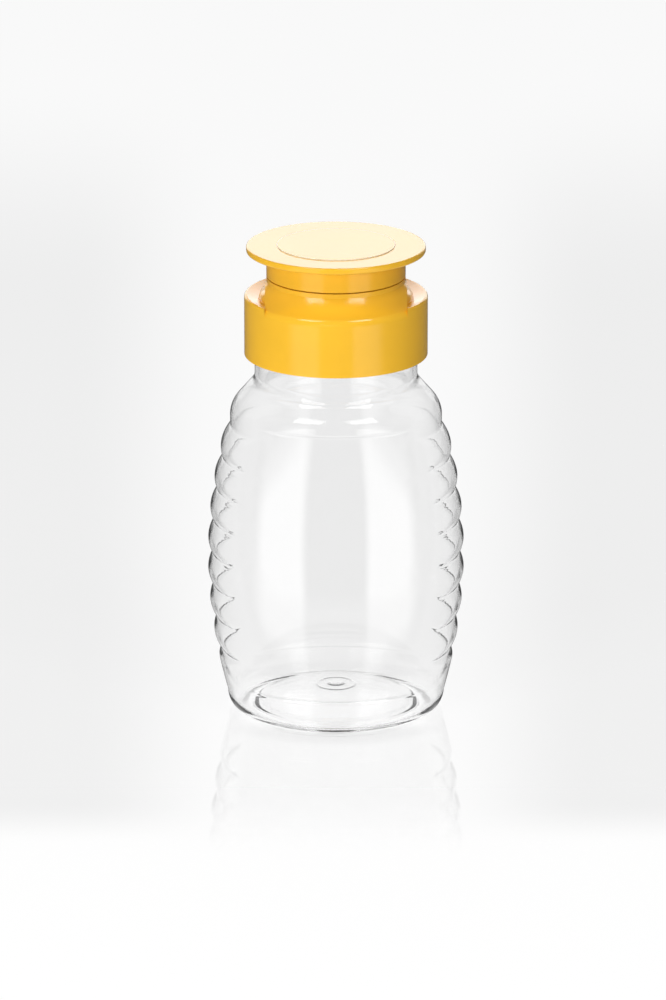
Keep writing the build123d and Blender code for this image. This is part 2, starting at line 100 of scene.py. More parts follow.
class BottleShape(bpy.types.PropertyGroup):
    """Sizes of the clear bottle."""

    half_width: FloatProperty(
        name="Half width", description="Half the barrel's width at its widest rib",
        default=0.03023, min=0.01, max=0.1, unit="LENGTH")
    rib_half_depth: FloatProperty(
        name="Rib half depth", description="Half the depth that the grooves' ovals would reach",
        default=0.0248, min=0.01, max=0.1, unit="LENGTH")
    panel_half_depth: FloatProperty(
        name="Panel half depth", description="Half the depth across the two label panels",
        default=0.0220, min=0.01, max=0.1, unit="LENGTH")
    rib_count: IntProperty(
        name="Ribs", description="Ribs between the base band and the shoulder band",
        default=7, min=1, max=20)
    rib_pitch: FloatProperty(
        name="Rib pitch", description="Height from one groove to the next",
        default=0.00783, min=0.002, max=0.03, unit="LENGTH")
    first_groove: FloatProperty(
        name="First groove", description="Height of the lowest groove",
        default=0.0145, min=0.005, max=0.05, unit="LENGTH")
    groove_depth: FloatProperty(
        name="Groove depth", description="How far a groove lies inside the ribs' crowns",
        default=0.0011, min=0, max=0.005, unit="LENGTH")
    groove_round: FloatProperty(
        name="Groove rounding", description="Reach over which the bottom of a groove is rounded",
        default=0.00024, min=0.00005, max=0.003, unit="LENGTH")
    panel_round: FloatProperty(
        name="Panel rounding", description="Reach over which the panels' side edges are rounded",
        default=0.00014, min=0.00002, max=0.002, unit="LENGTH")
    neck_radius: FloatProperty(
        name="Neck radius", description="Outer radius of the neck under the closure",
        default=0.0191, min=0.005, max=0.05, unit="LENGTH")
    foot_radius: FloatProperty(
        name="Foot radius", description="Outer radius of the ring that the bottle stands on",
        default=0.0218, min=0.005, max=0.05, unit="LENGTH")
    wall: FloatProperty(
        name="Wall", description="Thickness of the blown wall",
        default=0.0006, min=0.0002, max=0.003, unit="LENGTH")


class BottleColours(bpy.types.PropertyGroup):
    """Colours of the bottle's own plastics, of the painted sheen on the lid's step, and of the backdrop."""

    closure_yellow: FloatVectorProperty(
        name="Closure yellow", description="Colour of the closure, its lid and the hinge film",
        default=(0.93, 0.515, 0.030), min=0, max=1, size=3, subtype="COLOR")
    # Painted sheen: the pale colour of the step's edge stands in for the reflection that the flat top of the
    # disc shows.
    painted_sheen_edge: FloatVectorProperty(
        name="Painted sheen edge", description="Paler colour of the low step on the lid's disc",
        default=(0.95, 0.80, 0.58), min=0, max=1, size=3, subtype="COLOR")
    clear_tint: FloatVectorProperty(
        name="Clear tint", description="Tint of the clear plastic's surface",
        default=(0.995, 0.995, 0.995), min=0, max=1, size=3, subtype="COLOR")
    wall_tint: FloatVectorProperty(
        name="Wall tint", description="Colour that a thick run of clear plastic lets through",
        default=(0.50, 0.50, 0.50), min=0, max=1, size=3, subtype="COLOR")
    valve_white: FloatVectorProperty(
        name="Valve white", description="Colour of the silicone valve",
        default=(0.82, 0.83, 0.82), min=0, max=1, size=3, subtype="COLOR")
    retainer_white: FloatVectorProperty(
        name="Retainer white", description="Colour of the ring that holds the valve",
        default=(0.84, 0.84, 0.81), min=0, max=1, size=3, subtype="COLOR")
    liner_foam: FloatVectorProperty(
        name="Liner foam", description="Colour of the foam ring on the neck",
        default=(0.80, 0.79, 0.75), min=0, max=1, size=3, subtype="COLOR")
    backdrop: FloatVectorProperty(
        name="Backdrop", description="Colour of the floor and of what lies behind the bottle",
        default=(0.95, 0.95, 0.95), min=0, max=1, size=3, subtype="COLOR")


def stage_sizes():
    return bpy.context.scene.honey_stage_sizes


def bottle_shape():
    return bpy.context.scene.honey_bottle_shape


def colours():
    return bpy.context.scene.honey_bottle_colours


def opaque(colour):
    """A colour property as the four numbers that a shader's socket takes."""
    return (*colour, 1.0)


def figure(tree, operation, *values):
    """A sum, root or other figure of numbers and node outputs."""
    node = tree.nodes.new("ShaderNodeMath")
    node.operation = operation
    for value, socket in zip(values, node.inputs):
        if isinstance(value, (int, float)):
            socket.default_value = value
        else:
            tree.links.new(value, socket)
    return node.outputs["Value"]


def product(tree, first, *others):
    """All the numbers and node outputs multiplied."""
    for other in others:
        first = figure(tree, "MULTIPLY", first, other)
    return first


def ramp(tree, value, start, end, low, high):
    """Goes smoothly from low to high while the value goes from start to end."""
    node = tree.nodes.new("ShaderNodeMapRange")
    node.interpolation_type = "SMOOTHSTEP"
    for name, number in (("From Min", start), ("From Max", end), ("To Min", low), ("To Max", high)):
        node.inputs[name].default_value = number
    tree.links.new(value, node.inputs["Value"])
    return node.outputs["Result"]


def band(tree, value, start, full, fade, end):
    """1 while the value lies from full to fade, and easing to 0 at start and at end."""
    return product(tree, ramp(tree, value, start, full, 0.0, 1.0), ramp(tree, value, fade, end, 1.0, 0.0))


def split(tree, place):
    """The three numbers of a place or direction."""
    node = tree.nodes.new("ShaderNodeSeparateXYZ")
    tree.links.new(place, node.inputs["Vector"])
    return [node.outputs[axis] for axis in "XYZ"]


def off_axis(tree, x, y):
    """Distance from the bottle's upright axis."""
    return figure(tree, "SQRT", figure(tree, "ADD", product(tree, x, x), product(tree, y, y)))


class Finish:
    """A new material with one plastic shader, and the few node chains that the finishes share."""

    STEP_RADIUS, STEP_REACH, STEP_LOW_Z = 0.0138, 0.0001, 0.1127

    def __init__(self, name):
        self.material = bpy.data.materials.new(name)
        self.material.use_nodes = True
        self.tree = self.material.node_tree
        self.tree.nodes.clear()
        self.output = self.tree.nodes.new("ShaderNodeOutputMaterial")
        self.shader = self.tree.nodes.new("ShaderNodeBsdfPrincipled")
        self.join(self.shader.outputs["BSDF"], self.output.inputs["Surface"])
        self.coordinates = self.tree.nodes.new("ShaderNodeTexCoord")

    def join(self, start, end):
        self.tree.links.new(start, end)

    def set(self, **values):
        """Sets the shader's own sockets, written with underscores for spaces."""
        for key, value in values.items():
            self.shader.inputs[key.replace("_", " ")].default_value = value

    def placed(self, stretch):
        """The piece's own coordinates, stretched by a factor for each axis."""
        mapping = self.tree.nodes.new("ShaderNodeMapping")
        mapping.inputs["Scale"].default_value = stretch
        self.join(self.coordinates.outputs["Object"], mapping.inputs["Vector"])
        return mapping.outputs["Vector"]

    def noise(self, scale, detail=2.0, roughness=0.5, stretch=(1, 1, 1)):
        """Soft noise with about scale lumps a metre."""
        node = self.tree.nodes.new("ShaderNodeTexNoise")
        node.inputs["Scale"].default_value = scale
        node.inputs["Detail"].default_value = detail
        node.inputs["Roughness"].default_value = roughness
        self.join(self.placed(stretch), node.inputs["Vector"])
        return node.outputs["Fac"]

    def between(self, value, low, high, start=0.35, end=0.65):
        """Spreads a noise over the numbers from low to high."""
        node = self.tree.nodes.new("ShaderNodeMapRange")
        node.inputs["From Min"].default_value = start
        node.inputs["From Max"].default_value = end
        node.inputs["To Min"].default_value = low
        node.inputs["To Max"].default_value = high
        self.join(value, node.inputs["Value"])
        return node.outputs["Result"]

    def blend(self, value, first, second):
        """A colour between two colours, by a noise."""
        node = self.tree.nodes.new("ShaderNodeMix")
        node.data_type = "RGBA"
        node.inputs["A"].default_value = opaque(first)
        node.inputs["B"].default_value = opaque(second)
        self.join(self.between(value, 0.0, 1.0), node.inputs["Factor"])
        return node.outputs["Result"]

    def step_edge(self):
        """1 on the edge of the round step on the lid's disc, where a sheen is painted and the roughness
        raised, and 0 elsewhere.
        """
        x, y, z = split(self.tree, self.coordinates.outputs["Object"])
        near = figure(self.tree, "COMPARE", off_axis(self.tree, x, y), self.STEP_RADIUS, self.STEP_REACH)
        return product(self.tree, near, figure(self.tree, "GREATER_THAN", z, self.STEP_LOW_Z))

    def bumps(self, layers):
        """Stacks bumps, each given as (noise, height in metres, strength), on the shader."""
        normal = None
        for value, height, strength in layers:
            node = self.tree.nodes.new("ShaderNodeBump")
            node.inputs["Distance"].default_value = height
            node.inputs["Strength"].default_value = strength
            self.join(value, node.inputs["Height"])
            if normal is not None:
                self.join(normal, node.inputs["Normal"])
            normal = node.outputs["Normal"]
        self.join(normal, self.shader.inputs["Normal"])


def clear_plastic():
    """Blown clear plastic: faint sags from blowing, hazier where it is handled, grey in thick runs."""
    finish = Finish("clear_plastic")
    finish.set(Base_Color=opaque(colours().clear_tint), Transmission_Weight=1.0, IOR=1.5)
    haze = finish.noise(55.0, 3.0)
    finish.join(finish.between(haze, 0.012, 0.045), finish.shader.inputs["Roughness"])
    sag = finish.noise(38.0, 1.0, 0.4, (1, 1, 0.55))
    ripple = finish.noise(150.0, 2.0, 0.5, (1, 1, 0.35))
    finish.bumps([(sag, 0.0012, 0.12), (ripple, 0.00018, 0.12)])
    wall = finish.tree.nodes.new("ShaderNodeVolumeAbsorption")
    wall.inputs["Color"].default_value = opaque(colours().wall_tint)
    wall.inputs["Density"].default_value = 12.0
    finish.join(wall.outputs["Volume"], finish.output.inputs["Volume"])
    return finish.material


def yellow_plastic():
    """Moulded golden-yellow plastic: glossy, with a faint flow in its colour and one matt edge with a painted
    sheen, a pale colour standing in for the reflection that the lit top shows.
    """
    finish = Finish("yellow_plastic")
    yellow = Vector(colours().closure_yellow)
    flow = finish.noise(42.0, 3.0, 0.55, (1, 1, 2.2))
    moulded = finish.blend(flow, yellow * 0.97, yellow * 1.02)
    # Painted sheen: the step's edge is painted pale to match the reflection of the back light on the flat
    # top.
    painted_sheen_mix = finish.tree.nodes.new("ShaderNodeMix")
    painted_sheen_mix.data_type = "RGBA"
    edge = finish.step_edge()
    finish.join(edge, painted_sheen_mix.inputs["Factor"])
    finish.join(moulded, painted_sheen_mix.inputs["A"])
    painted_sheen_mix.inputs["B"].default_value = opaque(colours().painted_sheen_edge)
    finish.join(painted_sheen_mix.outputs["Result"], finish.shader.inputs["Base Color"])
    wear = finish.between(finish.noise(60.0), 0.12, 0.16)
    finish.join(figure(finish.tree, "MULTIPLY_ADD", edge, 0.2, wear), finish.shader.inputs["Roughness"])
    finish.set(IOR=1.5)
    grain = finish.noise(2600.0, 2.0)
    sink = finish.noise(70.0, 1.0)
    finish.bumps([(sink, 0.0004, 0.03), (grain, 0.000006, 0.2)])
    return finish.material


def silicone():
    """Soft translucent silicone with a dull, slightly uneven skin."""
    finish = Finish("silicone")
    white = Vector(colours().valve_white)
    cloud = finish.noise(260.0, 2.0)
    finish.join(finish.blend(cloud, white * 0.95, white), finish.shader.inputs["Base Color"])
    finish.join(finish.between(cloud, 0.42, 0.55), finish.shader.inputs["Roughness"])
    finish.set(IOR=1.41, Subsurface_Weight=0.4, Subsurface_Scale=0.002)
    finish.bumps([(finish.noise(1800.0, 2.0), 0.00002, 0.4)])
    return finish.material


def white_plastic():
    """Moulded off-white plastic of the retaining ring, with fine turning marks from its mould."""
    finish = Finish("white_plastic")
    white = Vector(colours().retainer_white)
    cloud = finish.noise(180.0, 3.0)
    finish.join(finish.blend(cloud, white * 0.96, white), finish.shader.inputs["Base Color"])
    finish.join(finish.between(cloud, 0.34, 0.46), finish.shader.inputs["Roughness"])
    finish.bumps([(finish.noise(2400.0, 2.0), 0.00002, 0.3)])
    return finish.material


def foam():
    """Pressed foam with small open cells."""
    finish = Finish("foam")
    base = Vector(colours().liner_foam)
    cells = finish.tree.nodes.new("ShaderNodeTexVoronoi")
    cells.inputs["Scale"].default_value = 3200.0
    finish.join(finish.placed((1, 1, 1)), cells.inputs["Vector"])
    finish.join(
        finish.blend(cells.outputs["Distance"], base * 0.86, base), finish.shader.inputs["Base Color"])
    finish.set(Roughness=0.9)
    finish.bumps([(cells.outputs["Distance"], 0.0001, 0.6)])
    return finish.material


def dress(node, material):
    """Gives a CAD node its finish, in the object's own material slots."""
    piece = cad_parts[node]
    if not piece.material_slots:
        raise RuntimeError(f"{node} has no material slot")
    for slot in piece.material_slots:
        slot.link = "OBJECT"
        slot.material = material


class HONEY_OT_stage(bpy.types.Operator):
    """Sets up the pale floor, the room's light, the softboxes and the camera"""

    bl_idname = "honey.stage"
    bl_label = "Stage, Light and Camera"

    FRONT_PLACE, FRONT_SIZE = (0.46, -0.67, 0.80), (0.52, 0.50)
    HIGH_PLACE, HIGH_SIZE = (0.46, -0.45, 1.06), (0.42, 0.34)
    FILL_PLACE, FILL_SIZE = (-0.5, -1.5, 0.35), (0.9, 0.7)
    BACK_PLACE, BACK_SIZE = (0.0, 1.0, 0.42), (1.2, 0.5)
    LIT_HEIGHT = 0.08
    OVERHEAD_SHARE = 0.1
    # Directions in which a mirrored ray meets the screens and the paper: sideways, along y and upward.
    SCREEN_ASIDE, SCREEN_FRONT = (0.31, 0.42, 0.78, 0.92), (-0.12, 0.0)
    SCREEN_HEIGHT = (-0.400, -0.355, -0.220, -0.165)
    PAPER_BACK, PAPER_BACK_HEIGHT, PAPER_UNDER = (0.80, 0.90), (-0.20, -0.08), (-0.50, -0.37)
    FLOOR_HALF, FLOOR_GLOSS = 6.0, 0.04
    # Where the floor changes, in metres: aside of its middle line, out from the axis and along y. DULL places
    # painted shade at the sides, BRIGHT a painted pool of light under the bottle and CONTACT a painted
    # contact shadow at its foot.
    FLOOR_SPREAD, DULL_ASIDE, DULL_ALONG = 0.54, (0.022, 0.062), (-0.10, -0.07, 0.35, 0.60)
    BRIGHT_OUT, BRIGHT_ALONG = (0.017, 0.027), (-0.024, -0.018)
    CONTACT_OUT, CONTACT_ALONG = (0.026, 0.034), (-0.024, -0.014)
    MIRROR_ALONG, PAST_ALONG = (-0.110, -0.060), (-0.05, -0.03)
    # DULLER, BRIGHTER and CONTACT are the strengths of the painted side shade, the painted pool of light and
    # the painted contact shadow on the floor.
    DULLER, BRIGHTER, CONTACT, GLOW_SHARE, MIRROR_SHARE = 0.172, 0.16, 0.12, 0.85, 0.30

    def execute(self, context):
        scene = context.scene
        scene.view_settings.view_transform = "Standard"
        self.room(scene)
        self.floor(scene)
        values = stage_sizes()
        for side in (-1, 1):
            for name, place, size, power, state in (
                    ("front_softbox", self.FRONT_PLACE, self.FRONT_SIZE, values.front_light, "EXCLUDE"),
                    ("high_softbox", self.HIGH_PLACE, self.HIGH_SIZE, values.high_light, "INCLUDE")):
                place = (side * place[0], *place[1:])
                self.link_light(self.softbox(scene, name, place, size, power), state)
        fill = self.softbox(scene, "front_fill", self.FILL_PLACE, self.FILL_SIZE, values.fill_light)
        fill.visible_glossy = fill.visible_transmission = False
        back = self.softbox(scene, "back_softbox", self.BACK_PLACE, self.BACK_SIZE, values.back_light)
        self.link_light(back, "INCLUDE")
        self.camera(scene)
        return {"FINISHED"}

    def through(self, tree, onward):
        """1 for a ray through the clear plastic that was never mirrored in it, else the onward share."""
        rays = tree.nodes.new("ShaderNodeLightPath")
        straight = figure(tree, "LESS_THAN", rays.outputs["Glossy Depth"], 0.5)
        return product(tree, rays.outputs["Is Transmission Ray"], figure(tree, "MAXIMUM", straight, onward))

    def seen(self, tree, onward):
        """1 for what the camera sees, straight or through the clear plastic, and else 0."""
        rays = tree.nodes.new("ShaderNodeLightPath")
        return figure(tree, "MAXIMUM", rays.outputs["Is Camera Ray"], self.through(tree, onward))

    def room(self, scene):
        """Pale backdrop, even light, and for gloss a dim room with a tall bright screen on each side."""
        values = stage_sizes()
        world = bpy.data.worlds.new("room")
        world.use_nodes = True
        tree = world.node_tree
        shade = tree.nodes["Background"]
        shade.inputs["Color"].default_value = opaque(colours().backdrop)
        x, y, z = split(tree, tree.nodes.new("ShaderNodeTexCoord").outputs["Generated"])
        level = figure(tree, "SQRT", figure(tree, "SUBTRACT", 1.0, product(tree, z, z)))
        aside = figure(tree, "DIVIDE", figure(tree, "ABSOLUTE", x), level)
        screens = product(
            tree, band(tree, aside, *self.SCREEN_ASIDE), ramp(tree, y, *self.SCREEN_FRONT, 1.0, 0.0),
            band(tree, z, *self.SCREEN_HEIGHT), values.screen_light - values.gloss_room)
        behind = product(
            tree, ramp(tree, y, *self.PAPER_BACK, 0.0, 1.0), ramp(tree, z, *self.PAPER_BACK_HEIGHT, 0.0, 1.0))
        paper = figure(tree, "ADD", behind, ramp(tree, z, *self.PAPER_UNDER, 1.0, 0.0))
        paper = product(tree, paper, 1.0 - values.gloss_room)
        gloss = figure(tree, "ADD", figure(tree, "ADD", screens, paper), values.gloss_room)
        even = ramp(tree, z, 0.0, 1.0, values.room_light, values.room_light * self.OVERHEAD_SHARE)
        rays = tree.nodes.new("ShaderNodeLightPath")
        mirrored = figure(tree, "MAXIMUM", rays.outputs["Is Glossy Ray"], rays.outputs["Is Transmission Ray"])
        strength = tree.nodes.new("ShaderNodeMix")
        tree.links.new(mirrored, strength.inputs["Factor"])
        tree.links.new(even, strength.inputs["A"])
        tree.links.new(gloss, strength.inputs["B"])
        shown = tree.nodes.new("ShaderNodeMix")
        tree.links.new(self.seen(tree, ramp(tree, y, -0.1, 0.1, 0.0, 1.0)), shown.inputs["Factor"])
        tree.links.new(strength.outputs["Result"], shown.inputs["A"])
        shown.inputs["B"].default_value = 1.0
        tree.links.new(shown.outputs["Result"], shade.inputs["Strength"])
        scene.world = world

    def glow_strength(self, tree, x, y):
        """Brightness of the floor, with painted light and shade: painted shade at the sides, a painted pool
        of light under the bottle and a painted contact shadow at its foot.
        """
        # Painted shade: the floor is made duller towards the sides.
        aside = figure(
            tree, "DIVIDE", figure(tree, "ABSOLUTE", x),
            figure(tree, "ADD", product(tree, y, self.FLOOR_SPREAD), 1.0))
        duller = product(
            tree, ramp(tree, aside, *self.DULL_ASIDE, 0.0, 1.0), band(tree, y, *self.DULL_ALONG), self.DULLER)
        out = off_axis(tree, x, y)
        # Painted pool of light: the floor is made brighter under the bottle.
        brighter = product(
            tree, ramp(tree, out, *self.BRIGHT_OUT, self.BRIGHTER, 0.0),
            ramp(tree, y, *self.BRIGHT_ALONG, 0.0, 1.0))
        # Painted contact shadow: the floor is made darker just in front of the bottle's foot.
        contact = product(
            tree, ramp(tree, out, *self.CONTACT_OUT, self.CONTACT, 0.0),
            ramp(tree, y, *self.CONTACT_ALONG, 1.0, 0.0))
        level = figure(tree, "SUBTRACT", stage_sizes().floor_glow, duller)
        return figure(tree, "SUBTRACT", figure(tree, "ADD", level, brighter), contact)

    def over(self, tree, share, below, above):
        """One shader laid over another by a share."""
        node = tree.nodes.new("ShaderNodeMixShader")
        for value, socket in zip((share, below, above), node.inputs):
            tree.links.new(value, socket)
        return node.outputs["Shader"]

    def floor(self, scene):
        """A pale sheet, painted brightest in the middle, with a soft shadow, partly cast and partly painted
        at the bottle's foot, and a mirror image that fades out.
        """
        sheet = bmesh.new()
        bmesh.ops.create_grid(sheet, x_segments=2, y_segments=2, size=self.FLOOR_HALF)
        mesh = bpy.data.meshes.new("floor")
        sheet.to_mesh(mesh)
        sheet.free()
        floor = bpy.data.objects.new("floor", mesh)
        floor.visible_glossy = False
        scene.collection.objects.link(floor)
        material = bpy.data.materials.new("floor")
        material.use_nodes = True
        tree = material.node_tree
        tree.nodes.clear()
        paper = tree.nodes.new("ShaderNodeBsdfDiffuse")
        paper.inputs["Color"].default_value = opaque(colours().backdrop)
        gloss = tree.nodes.new("ShaderNodeBsdfGlossy")
        gloss.inputs["Color"].default_value = (1, 1, 1, 1)
        gloss.inputs["Roughness"].default_value = self.FLOOR_GLOSS
        x, y, _ = split(tree, tree.nodes.new("ShaderNodeTexCoord").outputs["Object"])
        glow = tree.nodes.new("ShaderNodeEmission")
        tree.links.new(self.glow_strength(tree, x, y), glow.inputs["Strength"])
        seen = self.seen(tree, 1.0)
        lit = self.over(
            tree, product(tree, seen, self.GLOW_SHARE), paper.outputs["BSDF"], glow.outputs["Emission"])
        fade = ramp(tree, y, *self.MIRROR_ALONG, 0.0, self.MIRROR_SHARE)
        top = self.over(tree, product(tree, seen, fade), lit, gloss.outputs["BSDF"])
        rays = tree.nodes.new("ShaderNodeLightPath")
        bent = figure(tree, "SUBTRACT", rays.outputs["Is Transmission Ray"], self.through(tree, 0.0))
        past = self.over(
            tree, product(tree, bent, ramp(tree, y, *self.PAST_ALONG, 1.0, 0.0)), top,
            tree.nodes.new("ShaderNodeBsdfTransparent").outputs["BSDF"])
        output = tree.nodes.new("ShaderNodeOutputMaterial")
        tree.links.new(past, output.inputs["Surface"])
        mesh.materials.append(material)

    def softbox(self, scene, name, place, size, power):
        """A rectangle of light that faces the bottle and isn't itself in the picture."""
        lamp = bpy.data.lights.new(name, "AREA")
        lamp.shape = "RECTANGLE"
        lamp.size, lamp.size_y = size
        lamp.energy = power
        box = bpy.data.objects.new(name, lamp)
        scene.collection.objects.link(box)
        box.location = place
        way = Vector((0, 0, self.LIT_HEIGHT)) - Vector(place)
        box.rotation_euler = way.to_track_quat("-Z", "Y").to_euler()
        box.visible_camera = False
        return box

    def link_light(self, box, state):
        """Lets a softbox light the closure alone (INCLUDE), or all but the closure (EXCLUDE)."""
        lit = bpy.data.collections.new(box.name + "_lights")
        for node in CLOSURE_NODES:
            lit.objects.link(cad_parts[node])
        for member in lit.collection_objects:
            member.light_linking.link_state = state
        box.light_linking.receiver_collection = lit

    def camera(self, scene):
        values = stage_sizes()
        lens = bpy.data.cameras.new("camera")
        lens.sensor_fit = "VERTICAL"
        lens.sensor_height = 24.0
        lens.lens = lens.sensor_height * values.camera_distance / values.picture_height
        lens.clip_start = 0.05
        camera = bpy.data.objects.new("camera", lens)
        scene.collection.objects.link(camera)
        aim = Vector((values.camera_aim_side, 0, values.camera_aim_height))
        away = Vector((0, -cos(values.camera_elevation), sin(values.camera_elevation)))
        camera.location = aim + away * values.camera_distance
        camera.rotation_euler = (pi / 2 - values.camera_elevation, 0, 0)
        scene.camera = camera


def ease(value, start, end):
    """0 before start, 1 after end and a smooth turn between them."""
    share = min(max((value - start) / (end - start), 0.0), 1.0)
    return share * share * (3 - 2 * share)


def soft_max(first, second, reach):
    """The larger of two lengths, rounded off where they are within reach of each other."""
    near = max(reach - abs(first - second), 0.0) / reach
    return max(first, second) + near * near * reach / 4


def oval_radius(angle, half_width, half_depth):
    """Distance from the axis to a level oval, in the direction of angle."""
    return 1 / sqrt((cos(angle) / half_width) ** 2 + (sin(angle) / half_depth) ** 2)


def spread_angle(angle):
    """Moves a circle's evenly spread angles closer together where the grooves run out."""
    quarter, share = divmod(angle / (pi / 2), 1)
    mirrored = int(quarter) % 2 == 1
    if mirrored:
        share = 1 - share
    stops = ((0.0, 0.0), (0.12, radians(8)), (0.70, radians(34)), (1.0, radians(90)))
    for (low, low_angle), (high, high_angle) in zip(stops, stops[1:]):
        if share <= high:
            moved = low_angle + (high_angle - low_angle) * (share - low) / (high - low)
            break
    return quarter * pi / 2 + (pi / 2 - moved if mirrored else moved)


class BlownWall:
    """The bottle's blown surface: a level outline for every height, drawn in by an inset."""

    WIDEST_Z, WIDTH_ARC = 0.0373, 0.120
    DEEPEST_Z, DEPTH_ARC = 0.0302, 0.430
    HEEL_Z, BAND_Z, BASE_CROWN_Z = 0.0040, 0.0070, 0.0120
    BAND_DEPTH_GAIN = 0.0004
    CROWN_RISE, CROWN_IN = 0.0024, 0.0004
    SLOPE, CROWN_ARC, NECK_ARC = radians(41), 0.0065, 0.0030
    FRONT_SLOPE, FRONT_CROWN_ARC, FRONT_NECK_ARC, FRONT_NECK_Z = radians(42), 0.0026, 0.0015, 0.0797
    SHOULDER_TAPER = 0.015
    PANEL_BULGE, PANEL_MID_Z, PANEL_REACH = 0.0005, 0.0395, 0.033
    # The panels' ovals are wider than the barrel, and stand clear of it past the low and high fades.
    PANEL_MARGIN, PANEL_CLEAR, PANEL_LOW_FADE, PANEL_HIGH_FADE = 0.0004, 0.0009, 0.0006, (0.0002, 0.0014)
    BAND_LEVELS = (0.0051, 0.0057, 0.0062, 0.0065, 0.0068, 0.0070, 0.0072, 0.0075, 0.0079, 0.0085,
                   0.0094, 0.0104, 0.0113, 0.0121, 0.0128, 0.0134, 0.0139, 0.0142)
    CROWN_LEVELS = (0.00015, 0.00035, 0.0006, 0.0010, 0.0014, 0.0019, 0.0024, 0.0026, 0.0028, 0.0030,
                    0.0032, 0.0034, 0.0036, 0.0038)
    RIB_STEPS = 14

    def __init__(self, shape):
        self.shape = shape
        self.top_groove = shape.first_groove + shape.rib_count * shape.rib_pitch
        self.crown_z = self.top_groove + self.CROWN_RISE
        self.crown_width = self.barrel_width(self.crown_z) - self.CROWN_IN
        self.band_depth = shape.panel_half_depth + self.BAND_DEPTH_GAIN
        self.slope_width = self.crown_width - self.CROWN_ARC * (1 - cos(self.SLOPE))
        self.slope_low = self.crown_z + self.CROWN_ARC * sin(self.SLOPE)
        fillet_width = shape.neck_radius + self.NECK_ARC * (1 - cos(self.SLOPE))
        self.slope_high = self.slope_low + (self.slope_width - fillet_width) / tan(self.SLOPE)
        self.neck_z = self.slope_high + self.NECK_ARC * sin(self.SLOPE)

    def barrel_width(self, z):
        return self.shape.half_width - (z - self.WIDEST_Z) ** 2 / (2 * self.WIDTH_ARC)

    def barrel_depth(self, z):
        return self.shape.rib_half_depth - (z - self.DEEPEST_Z) ** 2 / (2 * self.DEPTH_ARC)

    def rise(self, z):
        """How far the ribs and the base band stand out from the grooves at height z."""
        shape = self.shape
        past = max(z - self.BASE_CROWN_Z, 0.0) / (shape.first_groove - self.BASE_CROWN_Z)
        rise = shape.groove_depth * (1 - past ** 2)
        for index in range(shape.rib_count):
            share = (z - shape.first_groove) / shape.rib_pitch - index
            rise = soft_max(rise, shape.groove_depth * (1 - (2 * share - 1) ** 2), shape.groove_round)
        return rise

    def shoulder_width(self, z):
        """Half width of the shoulder: a crown, a slope and the fillet up to the neck."""
        if z <= self.crown_z:
            return self.crown_width - self.SHOULDER_TAPER * (self.crown_z - z)
        if z <= self.slope_low:
            return self.crown_width - self.CROWN_ARC + sqrt(self.CROWN_ARC ** 2 - (z - self.crown_z) ** 2)
        if z <= self.slope_high:
            return self.slope_width - (z - self.slope_low) * tan(self.SLOPE)
        down = max(self.neck_z - z, 0.0)
        return self.shape.neck_radius + self.NECK_ARC - sqrt(self.NECK_ARC ** 2 - down ** 2)

    def shoulder_depth(self, z):
        """Half depth of the shoulder, which is flatter and turns more tightly than at the sides."""
        neck_r, bend = self.shape.neck_radius, self.FRONT_SLOPE
        down = max(self.FRONT_NECK_Z - z, 0.0)
        fillet = self.FRONT_NECK_ARC
        if down <= fillet * sin(bend):
            return neck_r + fillet - sqrt(fillet ** 2 - down ** 2)
        crown_in = self.FRONT_CROWN_ARC * (1 - cos(bend))
        slope = neck_r + fillet * (1 - cos(bend)) + (down - fillet * sin(bend)) * tan(bend)
        if slope <= self.band_depth - crown_in:
            return slope
        past = down - fillet * sin(bend) - (
            self.band_depth - crown_in - neck_r - fillet * (1 - cos(bend))) / tan(bend)
        left = max(self.FRONT_CROWN_ARC * sin(bend) - past, 0.0)
        return self.band_depth - self.FRONT_CROWN_ARC + sqrt(self.FRONT_CROWN_ARC ** 2 - left ** 2)

    def oval(self, z):
        """Half width and half depth of the level oval at height z, above the heel."""
        first = self.shape.first_groove
        if z > self.crown_z:
            return self.shoulder_width(z), self.shoulder_depth(z)
        rise = self.rise(z)
        width = self.barrel_width(z) - self.shape.groove_depth + rise
        depth = self.barrel_depth(z) + max(rise, 0.0)
        if z < first:
            depth = self.band_depth + (depth - self.band_depth) * ease(z, self.BAND_Z, first)
        elif z > self.top_groove - self.shape.rib_pitch / 2:
            width = soft_max(width, self.shoulder_width(z), self.shape.groove_round)
            depth += (self.band_depth - depth) * ease(z, self.top_groove, self.crown_z)
        return width, depth

    def outline(self, z, inset, rib_wall=0.0):
        """The level outline at height z, label panels included, as a distance for each angle."""
        width, depth = self.oval(z)
        swell = inset + rib_wall * min(max(self.rise(z) / self.shape.groove_depth, 0.0), 1.0)
        clear = 1 - ease(z, self.BAND_Z - self.PANEL_LOW_FADE, self.BAND_Z + self.PANEL_LOW_FADE)
        clear += ease(z, *(self.crown_z + rise for rise in self.PANEL_HIGH_FADE))
        panel_width = self.barrel_width(z) + self.PANEL_MARGIN
        bulge = self.PANEL_BULGE * (0.5 - ((z - self.PANEL_MID_Z) / self.PANEL_REACH) ** 2)
        panel_depth = self.shape.panel_half_depth + max(bulge, -self.PANEL_BULGE) + self.PANEL_CLEAR * clear

        def distance(angle):
            ribbed = oval_radius(angle, width - swell, depth - swell)
            panel = oval_radius(angle, panel_width - inset, panel_depth - inset)
            return -soft_max(-ribbed, -panel, self.shape.panel_round)

        return distance

